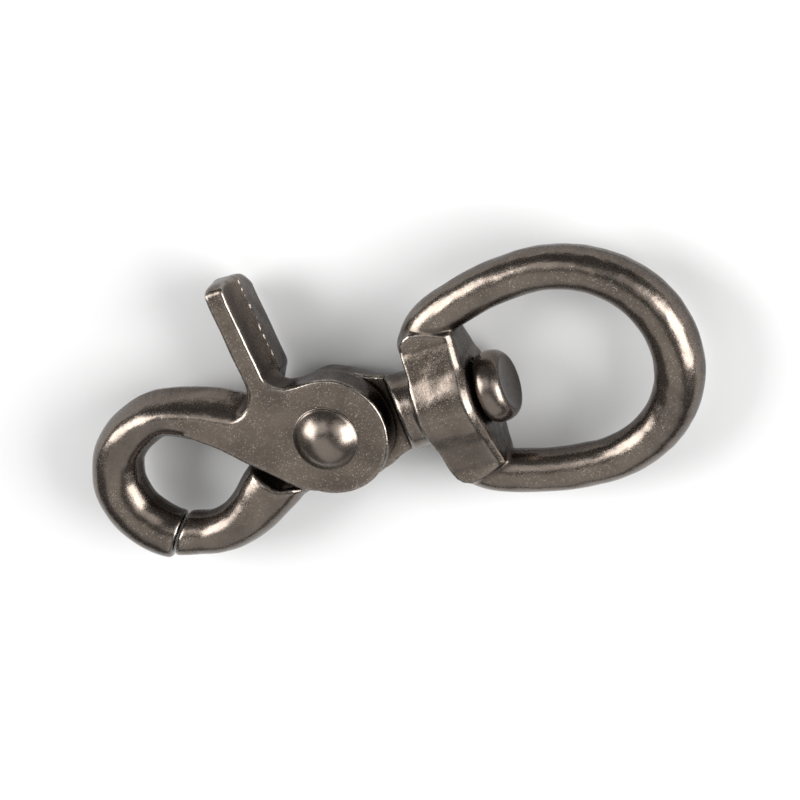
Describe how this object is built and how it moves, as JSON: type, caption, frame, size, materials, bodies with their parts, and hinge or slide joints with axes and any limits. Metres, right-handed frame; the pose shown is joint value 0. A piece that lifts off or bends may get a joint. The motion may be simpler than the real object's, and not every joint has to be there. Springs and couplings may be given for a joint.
{
  "type": "trigger swivel snap hook",
  "caption": "Cast snap hook whose sprung trigger jaw opens the throat, with a swivelling D eye on a headed pin.",
  "frame": {"origin": "middle of the hook's bounding box in plan, at its lowest level: the swivel boss and the rear rivet head lie on z = 0", "axes": "+X along the swivel axis towards the eye, +Y towards the thumb lever, +Z along the rivet towards the trigger jaw's face"},
  "size_m": [0.0806, 0.038, 0.0122],
  "materials": {
    "cast_nickel": "die casting with worn dark nickel plate, satin with polished bars",
    "polished_nickel": "dark nickel plate, polished",
    "spring_steel": "bright drawn wire"
  },
  "bodies": {
    "fixed_jaw_body": {"fixed_jaw": "cast_nickel", "swivel_pin": "polished_nickel"},
    "trigger_body": {"trigger_jaw": "cast_nickel", "pivot_rivet": "polished_nickel", "torsion_spring": "spring_steel"},
    "eye_body": {"swivel_eye": "cast_nickel"}
  },
  "joints": [
    {"name": "trigger_pivot", "type": "hinge", "parent": "fixed_jaw_body", "child": "trigger_body", "pos_m": [-0.00749, -0.0027, 0.0061], "axis": [0, 0, -1], "range_deg": [0, 32], "stiffness_Nm_per_rad": 0.12, "springref_deg": -34.38, "deforming": ["torsion_spring"]},
    {"name": "eye_swivel", "type": "hinge", "parent": "fixed_jaw_body", "child": "eye_body", "pos_m": [0.00869, -0.0032, 0.0061], "axis": [1, 0, 0], "continuous": true}
  ]
}
